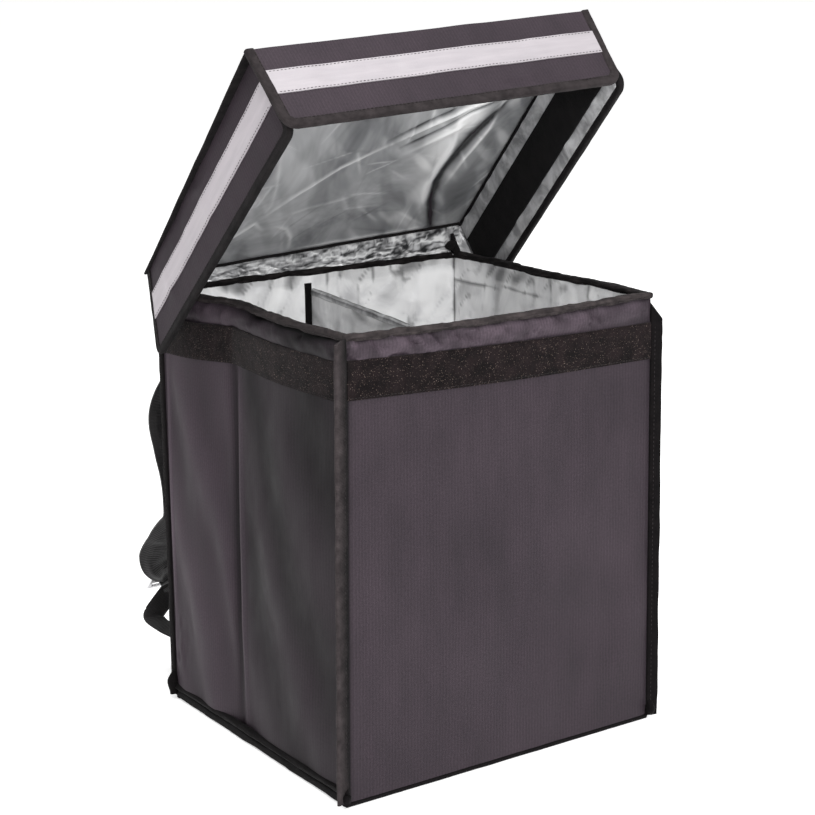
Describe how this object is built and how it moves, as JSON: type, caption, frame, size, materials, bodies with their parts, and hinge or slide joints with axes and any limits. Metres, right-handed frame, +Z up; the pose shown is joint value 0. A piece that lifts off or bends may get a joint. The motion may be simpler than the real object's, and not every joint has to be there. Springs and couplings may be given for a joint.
{
  "type": "insulated delivery backpack",
  "caption": "Box-shaped insulated backpack with its padded lid open, foil lining, divider, hook tape rim, reflective stripes and padded shoulder straps.",
  "frame": {"origin": "The middle of the base's underside, on the floor.", "axes": "+Z is up out of the floor. -Y is the front panel's side, where the lid opens. +Y is the back panel with the shoulder straps. +X is the right side seen from the front."},
  "size_m": [0.429, 0.4669, 0.7354],
  "materials": {
    "cloth": "charcoal coated polyester weave over foam",
    "binding": "black woven edge binding",
    "tape": "black hook and loop tape",
    "foil": "crumpled metallised film lining",
    "reflective": "silver grey reflective tape",
    "webbing": "black strap cloth and webbing",
    "steel": "bright pressed steel"
  },
  "bodies": {
    "root": {"back_panel": "cloth", "base_binding_back": "binding", "base_binding_front": "binding", "base_binding_left": "binding", "base_binding_right": "binding", "base_panel": "cloth", "base_seam_binding_left": "binding", "base_seam_binding_right": "binding", "body_lining": "foil", "corner_binding_back_left": "binding", "corner_binding_back_right": "binding", "corner_binding_front_left": "binding", "corner_binding_front_right": "binding", "divider_binding": "foil", "divider_panel": "foil", "divider_tape": "tape", "front_panel": "cloth", "hook_tape_front": "tape", "hook_tape_left": "tape", "hook_tape_right": "tape", "left_panel": "cloth", "lid_binding_front": "binding", "lid_binding_left": "binding", "lid_binding_right": "binding", "lid_edge_left": "binding", "lid_edge_right": "binding", "lid_hinge": "cloth", "lid_lining": "foil", "lid_lining_front": "foil", "lid_lining_left": "foil", "lid_lining_right": "foil", "lid_panel": "cloth", "lid_skirt_front": "cloth", "lid_skirt_left": "cloth", "lid_skirt_right": "cloth", "loop_tape_front": "tape", "loop_tape_left": "tape", "loop_tape_right": "tape", "lower_webbing_left": "webbing", "lower_webbing_right": "webbing", "right_panel": "cloth", "rim_binding": "binding", "shoulder_strap_left": "webbing", "shoulder_strap_right": "webbing", "strap_buckle_left": "steel", "strap_buckle_right": "steel", "stripe_front": "reflective", "stripe_left": "reflective", "stripe_right": "reflective"}
  },
  "joints": []
}
